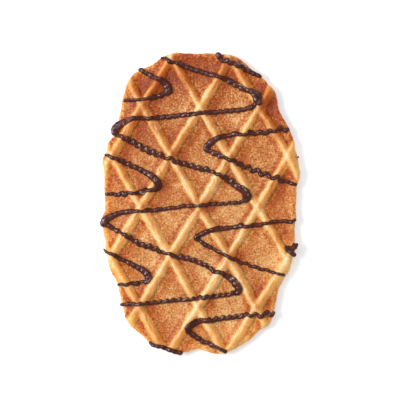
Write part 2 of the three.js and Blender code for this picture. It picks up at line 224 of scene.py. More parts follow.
# ---------------------------------------------------------------- chocolate lines
# A place on a route is (x, y, thickness) or (x, y, thickness, swing, curl). Swing is how far
# the strand sways, with its crests to the left of its way if positive and to the right if
# negative. Curl is how far each crest falls back on itself, from 0 for a plain wave to 1 for
# a small closed loop.
ROUTES = {
    "main": [
        (-12.7, 46.5, 0.7), (-11.6, 46.7, 0.75), (-10.5, 46.2, 1), (-9.6, 45.3, 1.45),
        (-8.6, 45.2, 1.1), (-7.6, 45.1, 1.15), (-6, 44.3, 1.75), (-4.9, 43.8, 1.35),
        (-3.4, 43.4, 1.75), (-2.2, 42.9, 1.3), (-0.8, 42.6, 1.7), (0.3, 42.1, 1.3),
        (1.6, 41.8, 1.6), (3, 41.3, 1.3), (4.4, 41.2, 1.5), (5.8, 40.6, 1.25), (7, 40.2, 1.25),
        (8.2, 39.7, 1.2, -0.3, 0.8), (10.6, 38.5, 1.4, -0.4, 1), (12.8, 37.2, 1.45, -0.35, 1),
        (14.4, 36.4, 1.5, -0.1, 0), (16.3, 35.9, 2.1), (17.6, 35.1, 2.7), (18.3, 34.1, 2.9),
        (18.5, 33.1, 2.7), (19.1, 32.4, 1.9), (18, 32.2, 1.4), (17.5, 31.9, 1.1), (16.8, 31, 1.5),
        (15.4, 30.5, 1.35, -0.12, 0), (11.4, 29.8, 1.4, -0.14, 0), (5, 29.3, 1.3, -0.12, 0),
        (-0.7, 28.9, 1.3, -0.12, 0), (-6.4, 28.2, 1.4, -0.16, 0), (-12.6, 27.6, 1.4, -0.16, 0),
        (-16.1, 27.2, 1.3, -0.14, 0), (-19.7, 27.3, 1.3, -0.12, 0), (-21.8, 27.2, 1.5, -0.1, 0),
        (-23.5, 26.5, 1.8), (-25.7, 25.4, 2.4), (-27.1, 24.1, 2.6), (-27.4, 23, 2.4),
        (-26.9, 22, 1.5), (-26, 21.6, 0.95), (-25.1, 21.4, 1, 0.4, 0),
        (-23.2, 20.5, 1.05, 0.55, 0.3), (-19.9, 18.7, 1.1, 0.6, 0.35),
        (-15.4, 16.5, 1.05, 0.6, 0.35), (-12.7, 15.4, 1.05, 0.45, 0.3), (-11.5, 14.6, 0.85),
        (-10.5, 14.3, 1.15), (-9.4, 14.5, 1.15), (-8, 13.5, 1.15, 0.3, 0.2),
        (-4.6, 12.6, 1.15, 0.42, 0.5), (-0.2, 11.4, 1.15, 0.42, 0.5), (2.2, 10.9, 1.2, 0.35, 0.4),
        (4.2, 10, 1.05, 0.1, 0), (6, 9.2, 1.15, 0.25, 0.2), (8, 8.4, 1.15, 0.45, 0.7),
        (10.3, 6.8, 1.25, 0.5, 0.8), (11.2, 5.8, 1.6, 0.2, 0.3), (12.4, 5.1, 2.2), (14, 4.1, 2.6),
        (15, 2.8, 3.1), (14.9, 1.7, 2.8), (14.4, 1.1, 2), (13.2, 0.6, 1.05),
        (11.8, 0.1, 1.15, -0.15, 0), (10.4, 0.3, 1.15, -0.2, 0.2), (8, 0, 1, -0.25, 0.3),
        (4.8, -0.1, 1.05, -0.22, 0.2), (1.4, -0.4, 1.05, -0.2, 0.2), (-0.8, -0.8, 0.8),
        (-3.05, -0.75, 1.35), (-4.2, -0.9, 1), (-5.4, -0.8, 1.4), (-7.6, -1.4, 1.05),
        (-9.2, -1.35, 1.4), (-11.1, -1.8, 1.15), (-13.3, -1.9, 1.4), (-15, -2.3, 1.15),
        (-16.6, -2.1, 1.5), (-18.3, -2.5, 1.05), (-20, -2.4, 1), (-21.9, -2.5, 1.5),
        (-23.8, -2.7, 1.5), (-26.1, -3.2, 1.65), (-28.3, -4.1, 1.9), (-30.1, -5, 2.3),
        (-30.8, -6, 2.6), (-30.6, -6.7, 2.2), (-29.7, -7, 1.4), (-28.5, -7.6, 1.75),
        (-27.6, -8.3, 1), (-26.7, -8.6, 1.75), (-25.4, -9.3, 0.85), (-24.2, -10, 1.1, 0.3, 0.3),
        (-22.1, -11.2, 1.1, 0.45, 0.35), (-19.2, -12.9, 1.1, 0.45, 0.35),
        (-16.1, -13.9, 1.15, 0.48, 0.35), (-13.5, -15, 1.1, 0.35, 0.3), (-11.1, -16, 0.95),
        (-9.5, -16.1, 1.05), (-8.5, -16.9, 1.2, 0.2, 0.3), (-5.9, -17.1, 1.1, 0.42, 0.6),
        (-3, -17.9, 1.1, 0.45, 0.6), (-0.2, -18.9, 1.15, 0.42, 0.6),
        (2.5, -20.2, 1.15, 0.35, 0.5), (4.5, -21.8, 1.35), (5.7, -21.8, 1.25),
        (7.4, -22.6, 1.4, 0.25, 0.3), (8.8, -23.5, 1.75), (10.3, -24.4, 2.2), (11.6, -26, 2.5),
        (12.4, -27.3, 2.3), (12.5, -28.2, 1.9), (11.7, -28.8, 1.5), (10.4, -28.8, 1.3, -0.3, 0.3),
        (8.4, -29.2, 0.95, -0.42, 0), (4.5, -29.7, 0.95, -0.47, 0), (1.5, -30, 0.95, -0.38, 0),
        (-0.7, -30.2, 1.1, -0.26, 0.2), (-3.3, -30.6, 0.95, -0.34, 0.6),
        (-8, -30.9, 1, -0.36, 0.8), (-12, -31.4, 0.95, -0.34, 0.8),
        (-16.5, -31.8, 0.95, -0.32, 0.8), (-20, -32.2, 1, -0.21, 0.4), (-22.3, -32.2, 1.35),
        (-24, -32.4, 1), (-25.8, -32.4, 0.9),
    ],
    "top_right": [
        (5, 47.4, 1.1), (5.8, 47.8, 2), (6.2, 46.9, 1.4), (6.9, 45.8, 1.1), (8, 45.5, 1.25),
        (8.6, 46.1, 1.25), (9.5, 44.9, 1.3), (11.1, 45, 1.35), (12.1, 43.9, 1.35),
        (13.4, 44.1, 1.4), (14.3, 43.1, 1.5), (15.7, 42.4, 1.5), (17.1, 41.7, 1.45),
        (18.8, 41, 1.25), (19.9, 40.4, 0.9),
    ],
    "left_top": [
        (-19.8, 42.6, 1), (-18.8, 42.9, 1.3), (-17.9, 42, 1.3), (-16.4, 41.4, 1.4, 0.1, 0),
        (-15.2, 40.5, 1.35), (-13.8, 40, 1.5), (-12.1, 39.3, 1.85), (-10.8, 38, 2.45),
        (-10.1, 36.5, 2.7), (-10.5, 35.4, 1.9), (-11.6, 35.4, 1.2), (-12.6, 34.6, 1.7),
        (-13.6, 34.5, 1.1), (-15, 34, 1.8), (-16.5, 33.7, 1.1), (-18.8, 33.3, 0.9),
        (-21.1, 33.1, 1.05), (-23.5, 33.1, 0.95), (-24.7, 32.9, 1),
    ],
    "right_1": [
        (28.5, 24.3, 1.1), (27.6, 23.3, 1.15), (26.7, 23.6, 1.1), (25.6, 24.3, 1.25),
        (24.6, 23.3, 1), (23.4, 22.9, 0.95), (22.2, 23.2, 1.45), (20.8, 22.4, 1.05),
        (19.3, 22.9, 1.65), (17.7, 22.2, 1.1), (16.1, 22.8, 1.7), (14.6, 22, 1.1),
        (12.9, 22.1, 1.15), (11.1, 22.4, 1.7), (9.5, 21.8, 1.3), (7.4, 21.6, 1.45),
        (6, 21.1, 1.75), (4.3, 20.2, 2), (2.7, 18.9, 2.1), (1.8, 17.6, 1.8), (2.6, 16.9, 1.5),
        (4.3, 16.2, 1.35, -0.35, 0.8), (6.4, 15.1, 1.3, -0.35, 0.8), (8.1, 14.6, 1.15),
        (9.5, 13.8, 1.2), (10.8, 13.9, 1.15), (12, 12.6, 1.2), (12.9, 13.1, 1.1),
        (13.9, 11.5, 1.2), (15.7, 11.9, 1.15), (16.7, 10.2, 1.15), (18.6, 11, 1.15),
        (19.4, 9.1, 1.2), (21.2, 9.7, 1.15), (22.9, 8, 1.15), (24.8, 8.7, 1.15),
        (25.7, 7.1, 1.25), (27.4, 7.2, 1.15), (29, 6.5, 1.1), (31.2, 5.9, 1.1),
    ],
    "left_mid": [
        (-30.7, 15.6, 1), (-29.5, 15.4, 1), (-28.3, 14.7, 1.15), (-26.6, 14.2, 1.2, 0.1, 0),
        (-25.2, 13.6, 1.15, 0.35, 0.6), (-22.4, 12.4, 1.25, 0.42, 0.7),
        (-20.2, 11.4, 1.5, 0.1, 0), (-18.5, 10.5, 1.75), (-16.9, 9.6, 1.95), (-15.2, 8.5, 2.3),
        (-13.9, 7.2, 2.55), (-13.3, 5.9, 2.5), (-13.7, 4.8, 1.8), (-15, 4.4, 1.4),
        (-16.4, 4.2, 1.1), (-17.5, 4.4, 1.25), (-18.5, 3.2, 1.2), (-19.1, 4, 1.2),
        (-20.4, 3.3, 1.05), (-22.1, 3.3, 1.1), (-23.3, 3.5, 1.1), (-24.2, 2.6, 1.25),
        (-24.9, 3.5, 1.2), (-26.4, 2.6, 1.1), (-27.6, 3.1, 1.15), (-29.2, 3, 1), (-30.7, 3, 1),
    ],
    "right_2": [
        (30.8, -4.9, 1.1), (29.8, -5.7, 1.05), (28.6, -5.95, 1.2), (27.1, -5.6, 1.25),
        (25.5, -5.8, 1), (23.6, -5.8, 1.25), (21.9, -6.3, 1), (20, -6.5, 1.15), (19, -7.1, 1.1),
        (17.6, -6.9, 1.55), (15.7, -7.3, 1.1), (14.3, -7.4, 1.2), (13, -7.1, 1.65),
        (11.2, -7.6, 1.4), (9.8, -7.7, 1.3), (8.6, -7.8, 1.75), (7.4, -8.2, 1.3),
        (6.3, -7.9, 1.8), (4.5, -8.3, 1.7), (2.6, -8.9, 1.55), (0.9, -9.6, 1.65),
        (-1, -10.6, 1.65), (-1.3, -11.3, 1.35), (-0.2, -11.9, 1.1), (1.4, -13.1, 1.4),
        (3.1, -14, 1.35), (4.5, -14.7, 0.8), (5.5, -15.3, 1.1), (7.1, -16.1, 0.85),
        (8.8, -16.9, 1.05), (10.2, -17.8, 1), (11.7, -18, 1.15), (12.9, -19, 1),
        (14.8, -19.2, 1.05), (16.4, -20.2, 1), (18.1, -20.4, 1.15), (19.5, -21.2, 1),
        (21.2, -21.2, 1.1), (22.6, -21.9, 0.9), (24, -22.2, 0.75), (25.7, -22.7, 0.85),
        (27.5, -23, 0.85),
    ],
    "left_low": [
        (-30.9, -14.3, 0.4), (-30.4, -15.2, 0.7), (-29.5, -15.8, 0.9), (-28.3, -16.2, 1.1),
        (-26.6, -17, 1.35), (-25.8, -17.7, 1.15), (-25, -18, 1.4), (-23.8, -18.5, 1.15),
        (-22.6, -19.1, 1.55), (-21.1, -19.9, 1.6), (-19.7, -20.6, 1.85), (-18, -21.6, 2.3),
        (-16.8, -23, 2.45), (-16.6, -24.1, 2.1), (-17.2, -25.2, 1.6), (-18.2, -25, 1),
        (-19.3, -25.2, 0.95), (-20.5, -25.7, 1.5), (-22.1, -25.5, 0.95), (-23.8, -26.1, 1.05),
        (-25.2, -25.9, 1), (-26.6, -26.1, 1),
    ],
    "right_3": [
        (24, -34.6, 0.8), (22.9, -35.9, 1.15), (21.4, -34.8, 1.2), (19.5, -36.4, 1.2),
        (17.9, -35.4, 1.15), (16.2, -36.1, 1.05), (14.9, -35.4, 1.2), (13.4, -36, 1.1, -0.3, 0.8),
        (10, -36.4, 1.1, -0.38, 1), (6, -36.9, 1.15, -0.38, 1), (3, -37.3, 1.2, -0.35, 0.9),
        (1.1, -37.5, 1.8), (-0.5, -37.7, 2), (-1.8, -38.2, 2.2), (-3.1, -39.2, 2.3),
        (-4.1, -40.1, 2), (-3.6, -41, 1.8), (-2.4, -42, 1.7), (-0.9, -43.1, 1.65),
        (0.1, -43.6, 1.5), (1, -44.4, 1.4), (2.4, -44.6, 1.35), (3.8, -45.5, 1.5),
        (5.5, -46.2, 1.15), (7.1, -47, 1.2), (8.8, -47.7, 1.3),
    ],
    "bottom_left": [
        (-16.4, -44.3, 0.65), (-15.2, -45.3, 1.1), (-13.5, -45.8, 1.15), (-12.3, -45.9, 1.25),
        (-10.9, -46.5, 1.3), (-8.8, -47.2, 1.4), (-6.9, -47.8, 1.4), (-5.4, -48.1, 1.2),
    ],
    "drop": [
        (27.3, -13.6, 1.7), (27.9, -14.2, 1.9), (28.6, -14.9, 2.2), (29.3, -15.6, 2.1),
        (29.9, -16.3, 1.4), (30.9, -16.6, 1.3),
    ],
    "speck": [
        (31.4, 15.2, 0.5), (31.4, 14.8, 0.65), (31.3, 14.4, 0.5),
    ],
}
# A second stroke that runs into a line.
BRANCHES = {
    "drop": [
        (29, -15.1, 1.7), (29.8, -14.4, 1.7), (30.4, -13.6, 2.3), (30.8, -12.7, 2.6),
    ],
}
# A swing's length, how far its crests lean, and how far a whole curl falls back. A strand
# that swings also lifts over itself, most of all a little after each crest, and by the whole
# lift from a full swing on.
SWING_PITCH = 2.2
SWING_LEAN = 0.3
CURL_BACK = 0.62
SWING_LIFT = 0.45
SWING_FULL = 0.45
LIFT_LATE = 1.3
# Under the crests of a swinging strand, chocolate runs together into a straight base.
BASE_ASIDE = 0.45
BASE_RADIUS = 0.5
BASE_LEAST = 0.05
BASE_SPAN = (0.15, 0.4)
# Where the strand is laid thick, as at its turns, it has ribs from drops that ran together.
RIBS_SPAN = (1.5, 2.1)
RIBS_SWING = 0.16
RIBS_TIGHTER = 0.6
RIBS_THINNER = 0.1
# All along, it has beads from the hand's small hesitations.
BEADS = 0.1
BEAD_PITCH = 1.7
# The hand's unevenness: over what length it changes, and how much it does to each measure.
UNEVEN_OVER = 4
UNEVEN_PITCH = 0.15
UNEVEN_SWING = 0.3
UNEVEN_BEADS = 0.3
UNEVEN_RADIUS = 0.08
# A thin strand spreads a little as it lands, and a thick one doesn't.
LINE_FULLER = 0.16
FULLER_SPAN = (1.4, 2)
LINE_STEP = 0.12
CURVE_PARTS = 24
TIP_LEAST = 0.02
LINE_CENTRE = 0.3
LINE_VOXEL = 0.15
LINE_SOFTEN = 2
# The settled line: its flat underside, and the height above which it sags, and to what share.
LINE_FLAT = -0.14
LINE_SAG_FROM = 0.95
LINE_SAG = 0.6
# It rests on the face as it is this far inside the edge, smoothed over this distance.
REST_FROM_EDGE = 0.7
REST_SMOOTHED = 0.4


# ---------------------------------------------------------------- shape of the waffle
def speckle(x, y, size, seed):
    """Smooth random values of about -1 to 1 over places, with features of one size."""
    return np.array([noise.noise(Vector((a / size, b / size, seed))) for a, b in zip(x, y)])


def smooth(low, high, value):
    """An S-shaped step from 0 at the low value to 1 at the high one."""
    t = np.clip((value - low) / (high - low), 0, 1)
    return t * t * (3 - 2 * t)


def bell(value, middle, spread):
    """A soft hump that is 1 at the middle."""
    return np.exp(-(((value - middle) / spread) ** 2))


def make_edge():
    """The baked edge all the way round: an oval, its lobes, and the crumbly batter's teeth."""
    bearing = np.linspace(-math.pi, math.pi, EDGE_SAMPLES, endpoint=False)
    across = np.abs(np.cos(bearing)) / HALF_WIDTH
    along = np.abs(np.sin(bearing)) / HALF_LENGTH
    reach = (across**OVAL_POWER + along**OVAL_POWER) ** (-1 / OVAL_POWER)
    for at, swell, spread in LOBES:
        off = (np.degrees(bearing) - at + 540) % 360 - 180
        reach = reach + swell * bell(off, 0, spread)
    x, y = reach * np.cos(bearing), reach * np.sin(bearing)
    for far, size, seed in EDGE_TEETH:
        reach = reach + far * speckle(x, y, size, seed)
    return bearing, reach


EDGE = make_edge()


def edge_at(bearing):
    """Distance from the middle to the baked edge in the direction of a bearing."""
    return np.interp(bearing, *EDGE, period=2 * math.pi)


def lattice_steps():
    """Every crossing of the lattice, as steps across and along from the centre one."""
    steps = range(-LATTICE_REACH, LATTICE_REACH + 1)
    return [(across, along) for along in steps for across in steps if (across + along) % 2 == 0]


def crossing_at(across, along):
    """Where a crossing of the lattice stands."""
    dx, dy = STRAY_CROSSINGS.get((across, along), (0, 0))
    return (
        CENTRE_CROSSING[0] + across * HALF_DIAMOND[0] + along * LATTICE_LEAN + dx,
        CENTRE_CROSSING[1] + along * HALF_DIAMOND[1] + dy,
    )


def crossing_distance(x, y):
    """How far each place is from its nearest crossing."""
    nearest = np.full_like(x, FAR)
    for across, along in lattice_steps():
        cx, cy = crossing_at(across, along)
        nearest = np.minimum(nearest, np.hypot(x - cx, y - cy))
    return nearest


def way_between(ax, ay, bx, by):
    """Length and unit heading of the straight way from one place to another."""
    long = math.hypot(bx - ax, by - ay)
    return long, (bx - ax) / long, (by - ay) / long


def own_number(across, along, lean):
    """A number from -1 to 1 for the stretch of ridge that starts at a crossing."""
    return math.sin(7 * across + 3 * along + lean)


def ridge_places(x, y, lean):
    """For the nearest ridge of one lean: how far aside, how far along, and its own number."""
    aside = np.full_like(x, FAR)
    onward = np.zeros_like(x)
    which = np.zeros_like(x)
    for across, along in lattice_steps():
        ax, ay = crossing_at(across, along)
        long, ux, uy = way_between(ax, ay, *crossing_at(across + lean, along + 1))
        on = np.clip((x - ax) * ux + (y - ay) * uy, 0, long)
        off_x, off_y = x - ax - on * ux, y - ay - on * uy
        away = np.hypot(off_x, off_y)
        closer = away < np.abs(aside)
        aside = np.where(closer, np.copysign(away, off_x * uy - off_y * ux), aside)
        onward = np.where(closer, on, onward)
        which = np.where(closer, own_number(across, along, lean), which)
    return aside, onward, which


def fold_depth(x, y):
    """How deep the small folds in the batter cut at each place, with a lip beside each."""
    depth = np.zeros_like(x)
    for ax, ay, bx, by, deep in FOLDS:
        long, ux, uy = way_between(ax, ay, bx, by)
        on = (x - ax) * ux + (y - ay) * uy
        off = (x - ax) * uy - (y - ay) * ux
        within = smooth(-FOLD_ENDS, FOLD_ENDS, on) * smooth(-FOLD_ENDS, FOLD_ENDS, long - on)
        groove = bell(off, 0, FOLD_WIDTH)
        lip = bell(off, -2 * FOLD_WIDTH, FOLD_WIDTH)
        depth = np.maximum(depth, 0) + deep * within * (groove - FOLD_LIP * lip)
    return depth


class Face:
    """Everything about one face of the waffle at a set of places."""

    def __init__(self, x, y, fine=True):
        wx, wy = x, y
        if fine:
            for far, size, seed_x, seed_y in LATTICE_WAVER:
                wx = wx + far * speckle(x, y, size, seed_x)
                wy = wy + far * speckle(x, y, size, seed_y)
        self.inset = edge_at(np.arctan2(y, x)) - np.hypot(x, y)
        self.rise = np.zeros_like(x)
        # Bands along the ridges: feet that are browner partly as painted shade, a pale crest with a
        # painted highlight, and a flank in painted shade.
        self.foot_brown_and_shade = np.zeros_like(x)
        self.crest_pale_and_highlight = np.zeros_like(x)
        self.flank_shade = np.zeros_like(x)
        self.crack = np.zeros_like(x)
        self.open = np.full_like(x, FAR)
        for lean in (1, -1):
            self.add_ridges(wx, wy, lean, fine)
        self.crossing = bell(crossing_distance(wx, wy), 0, CROSSING_REACH)
        self.rise = np.minimum(self.rise ** (1 / RIDGE_BLEND), RIDGE_RISE * CROSSING_HIGHEST)
        self.ridge = smooth(*RIDGE_SPAN, self.rise / RIDGE_RISE)
        self.rise *= RISE_AT_RIM + RISE_GAINED * smooth(0, RISE_GAINED_OVER, self.inset)
        dish = CELL_DISH * smooth(*DISH_FROM_RIDGE, self.open)
        self.rise -= dish * smooth(*DISH_FROM_EDGE, self.inset)

    def add_ridges(self, x, y, lean, fine):
        """Adds the ridges that lean one way, and the bands along them, which paint shade and a
        highlight.
        """
        aside, onward, which = ridge_places(x, y, lean)
        away = np.abs(aside)
        left, right = RIDGE_REACH[lean]
        half = np.where(aside < 0, left, right) * (1 + RIDGE_WIDER * which)
        own = RIDGE_UNLIKE * which
        if fine:
            bulge, size, seed = SIDES_BULGE
            half = half * (1 + bulge * speckle(onward, aside + own, size, seed + lean))
        high = RIDGE_RISE * (RIDGE_LEVEL + RIDGE_HIGHER * which)
        body = high * (1 - np.clip(away / half, 0, 1) ** RIDGE_POWER) ** RIDGE_FILLET
        if fine:
            wander = CRACK_WANDER * np.sin(onward / CRACK_WANDER_OVER + own)
            lane = CRACK_ASIDE * np.sign(which) + wander
            seen = speckle(onward, own, CRACK_LENGTH, CRACK_SEED + lean)
            crack = smooth(*CRACK_SPAN, seen) * bell(aside, lane, CRACK_WIDTH)
            body -= CRACK_DEPTH * crack
            self.crack += crack
        self.rise += body.clip(0) ** RIDGE_BLEND
        # Bands at the feet, partly baked brown and partly painted shade.
        for at, spread, strength, more in FOOT_BROWN_AND_SHADE_BANDS:
            self.foot_brown_and_shade += (strength + more * lean) * bell(aside, at, spread)
        # A pale crest band, with a painted highlight on its side towards the window.
        self.crest_pale_and_highlight += bell(aside, *CREST_PALE_AND_HIGHLIGHT_BAND)
        # A band of painted shade down the ridge's right flank, away from the window.
        self.flank_shade += bell(aside, *FLANK_SHADE_BAND)
        self.open = np.minimum(self.open, away)

    def crust(self):
        """Height of the bare sheet's face above its middle, rounded off at the rim."""
        half = SHEET_THICK / 2
        t = np.clip(self.inset / half, 0, 1)
        return half * np.sqrt(1 - (1 - t) ** 2)


def pits(x, y, ridge):
    """Where steam left small pits in the baked face, which are rare on the ridges."""
    pitted = smooth(*PIT_SPAN, -speckle(x, y, PIT_SIZE, PIT_SEED))
    return pitted * (1 - PITS_LOST_ON_RIDGE * ridge)


def grain(x, y, ridge):
    """Blisters and pits of the baked face."""
    blisters = sum(high * speckle(x, y, size, seed) for high, size, seed in BLISTERS)
    return blisters - PIT_DEPTH * pits(x, y, ridge)


def upper_height(x, y, fine=True):
    """Height of the upper face, with or without its fine relief, and what is known of it."""
    face = Face(x, y, fine)
    height = MIDDLE + face.crust() + face.rise
    if fine:
        relief = grain(x, y, face.ridge) - fold_depth(x, y)
        height += relief * smooth(0, GRAIN_FROM_EDGE, face.inset)
    return height, face


def resting_height(x, y):
    """The smoothed upper face that chocolate settles on, which carries on past the edge."""
    reach = np.hypot(x, y)
    within = edge_at(np.arctan2(y, x)) - REST_FROM_EDGE
    keep = np.minimum(1, within / np.maximum(reach, TINY))
    near = REST_SMOOTHED
    offsets = ((0, 0), (near, 0), (-near, 0), (0, near), (0, -near))
    height = 0
    for dx, dy in offsets:
        height = height + upper_height(x * keep + dx, y * keep + dy, fine=False)[0]
    return height / len(offsets)


def to_outline(u, v, inset):
    """Takes a place in a square of -1 to 1 to the waffle's outline, less an inset at its edge."""
    wide = np.abs(u) > np.abs(v)
    big = np.where(wide, u, v)
    small = np.where(wide, v, u)
    turn = math.pi / 4 * small / np.where(big == 0, 1, big)
    bearing = np.where(wide, turn, math.pi / 2 - turn) + np.where(big < 0, math.pi, 0)
    reach = (edge_at(bearing) - inset) * np.abs(big)
    return reach * np.cos(bearing), reach * np.sin(bearing)


def coordinates(verts, axes="xyz"):
    """The vertices' coordinates on each of some axes."""
    return [np.array([getattr(v.co, axis) for v in verts]) for axis in axes]


def verts_of(edges):
    """The vertices at the ends of some edges, each once."""
    return list(dict.fromkeys(v for e in edges for v in e.verts))


def grow_rim(bm, rim, insets):
    """Adds rings of faces from a sheet's boundary outwards; gives their vertices and rim."""
    added = []
    for inset in insets:
        grown = bmesh.ops.extrude_edge_only(bm, edges=rim)["geom"]
        rim = [g for g in grown if isinstance(g, bmesh.types.BMEdge) and g.is_boundary]
        verts = verts_of(rim)
        bearing = np.array([math.atan2(v.co.y, v.co.x) for v in verts])
        reach = edge_at(bearing) - inset
        for vert, x, y in zip(verts, reach * np.cos(bearing), reach * np.sin(bearing)):
            vert.co = (x, y, 0)
        added += verts
    return added, rim


def face_sheet(bm, squares):
    """A grid over the whole outline, less the first rim step, and its boundary edges."""
    before = set(bm.edges)
    made = bmesh.ops.create_grid(bm, x_segments=squares[0], y_segments=squares[1], size=1)
    verts = made["verts"]
    for vert, x, y in zip(verts, *to_outline(*coordinates(verts, "xy"), RIM_STEPS[0])):
        vert.co = (x, y, 0)
    return verts, [e for e in bm.edges if e not in before and e.is_boundary]


def shape_face(verts, layers, seed):
    """Paints the vertices of one sheet, and gives the heights they have on an upper face."""
    x, y = coordinates(verts, "xy")
    height, face = upper_height(x, y)
    paint(verts, layers, x, y, face, seed)
    return height


def crumble_rim(verts):
    """Roughens the narrow rim, where batter squeezed out of the iron and dried."""
    x, y = coordinates(verts, "xy")
    bearing = np.arctan2(y, x)
    near = bell(edge_at(bearing) - np.hypot(x, y), 0, RIM_CRUMBLE_REACH)
    for vert, turn, share in zip(verts, bearing, near):
        if share > RIM_CRUMBLE_LEAST and vert.co.z > 0:
            lumps = sum(high * noise.noise(vert.co / size) for high, size in RIM_LUMPS)
            push = RIM_CRUMBLE * share * lumps
            vert.co.x += push * math.cos(turn)
            vert.co.y += push * math.sin(turn)
            vert.co.z = max(0, vert.co.z + push)


def bake_waffle():
    """The waffle as one closed mesh: a fine upper face, a coarser lower one and a rim."""
    bm = bmesh.new()
    layers = [bm.verts.layers.float.new(name) for name in PAINTED]
    upper, rim = face_sheet(bm, SQUARES)
    added, upper_rim = grow_rim(bm, rim, RIM_STEPS[1:])
    upper += added
    lower, rim = face_sheet(bm, (SQUARES[0] // 2, SQUARES[1] // 2))
    added, lower_rim = grow_rim(bm, rim, RIM_STEPS[2:-1])
    lower += added
    for vert, height in zip(upper, shape_face(upper, layers, 0)):
        vert.co.z = height
    for vert, height in zip(lower, shape_face(lower, layers, LOWER_SEED)):
        vert.co.z = max(0, TOTAL_HIGH - height)
    bmesh.ops.bridge_loops(bm, edges=upper_rim + lower_rim)
    crumble_rim(upper + lower)
    return finish_mesh(bm, "baked_waffle")


def brownness_and_shade(x, y, face, seed):
    """How brown the waffle is baked at each place, from 0 to 1, with painted shade and highlight in
    it.
    """
    cell = 1 - face.ridge
    # The crest is paler, partly for a painted highlight on it.
    brown = CELL_BROWN * cell + RIDGE_BROWN * face.ridge - CREST_PALER_AND_HIGHLIGHT * face.crest_pale_and_highlight * face.ridge
    # The feet are browner for baking and for painted shade, the flanks darker for painted shade,
    # and the pits darker partly for painted shade.
    brown += (FOOT_BROWN_AND_SHADE * face.foot_brown_and_shade * cell + FLANK_SHADE_DARKER * face.flank_shade
              + PIT_BROWN_AND_SHADE * pits(x, y, face.ridge))
    brown += sum(much * speckle(x, y, size, at + seed) for much, size, at in BROWN_CLOUDS)
    # Folds and cracks are painted darker for the shade in them, and fold lips paler for light.
    brown += FOLD_SHADE * fold_depth(x, y) + CRACK_SHADE * face.crack * face.ridge
    much, size, at = BROWN_FLECKS
    brown += much * speckle(x, y, size, at + seed) + CROSSING_BROWNER * face.crossing
    much, varies, size, at = EDGE_PALER
    paler = much + varies * speckle(x, y, size, at + seed)
    brown -= paler * np.exp(-np.clip(face.inset, 0, None) / EDGE_PALER_REACH)
    for px, py, radius, browner in PATCHES:
        brown += browner * np.exp(-((x - px) ** 2 + (y - py) ** 2) / radius**2)
    return brown


def paint(verts, layers, x, y, face, seed):
    """Writes at each vertex how brown, speckled and warm in hue the waffle is, with painted shade.
    """
    cell = 1 - face.ridge
    grows = np.clip((y - SPECKLE_GROWS_FROM) / SPECKLE_GROWS_OVER, 0, 1)
    speckled = (RIDGE_SPECKLE + CELL_SPECKLE * cell) * (1 + SPECKLE_GROWS * grows)
    # Warmth at the feet and flanks is the orange of painted shade; it also warms the rim, and
    # crossings lose some of it.
    warm = (FOOT_SHADE_WARMER * face.foot_brown_and_shade * cell + FLANK_SHADE_WARMER * face.flank_shade
            + np.exp(-face.inset / RIM_WARMER_REACH))
    warm = np.clip(warm * (1 - CROSSING_COOLER * face.crossing), 0, 1)
    for layer, amounts in zip(layers, (brownness_and_shade(x, y, face, seed), speckled, warm)):
        for vert, amount in zip(verts, amounts):
            vert[layer] = amount


def finish_mesh(bm, name):
    """Turns a bmesh in millimetres into a smooth-shaded object in metres."""
    bmesh.ops.recalc_face_normals(bm, faces=bm.faces)
    bmesh.ops.scale(bm, vec=(MM, MM, MM), verts=bm.verts)
    mesh = bpy.data.meshes.new(name)
    bm.to_mesh(mesh)
    bm.free()
    for polygon in mesh.polygons:
        polygon.use_smooth = True
    piece = bpy.data.objects.new(name, mesh)
    bpy.context.collection.objects.link(piece)
    return piece


# ---------------------------------------------------------------- chocolate
def along_route(route):
    """Even steps along a smooth curve through a route, with its values and headings there.

    A place that is written without a swing and a curl has none.
    """
    points = np.array([(place + (0, 0))[:5] for place in route], float)
    ends = np.vstack([2 * points[0] - points[1], points, 2 * points[-1] - points[-2]])
    t = np.linspace(0, 1, CURVE_PARTS, endpoint=False)[:, None]
    runs = []
    for p0, p1, p2, p3 in zip(ends, ends[1:], ends[2:], ends[3:]):
        runs.append(0.5 * (2 * p1 + (p2 - p0) * t + (2 * p0 - 5 * p1 + 4 * p2 - p3) * t**2
                           + (3 * p1 - p0 - 3 * p2 + p3) * t**3))
    dense = np.vstack(runs + [points[-1:]])
    gone = np.concatenate([[0], np.cumsum(np.hypot(*np.diff(dense[:, :2], axis=0).T))])
    steps = np.arange(0, gone[-1], LINE_STEP)
    even = np.stack([np.interp(steps, gone, values) for values in dense.T], axis=1)
    heading = np.gradient(even[:, :2], axis=0)
    heading /= np.hypot(*heading.T)[:, None]
    return steps, even, heading


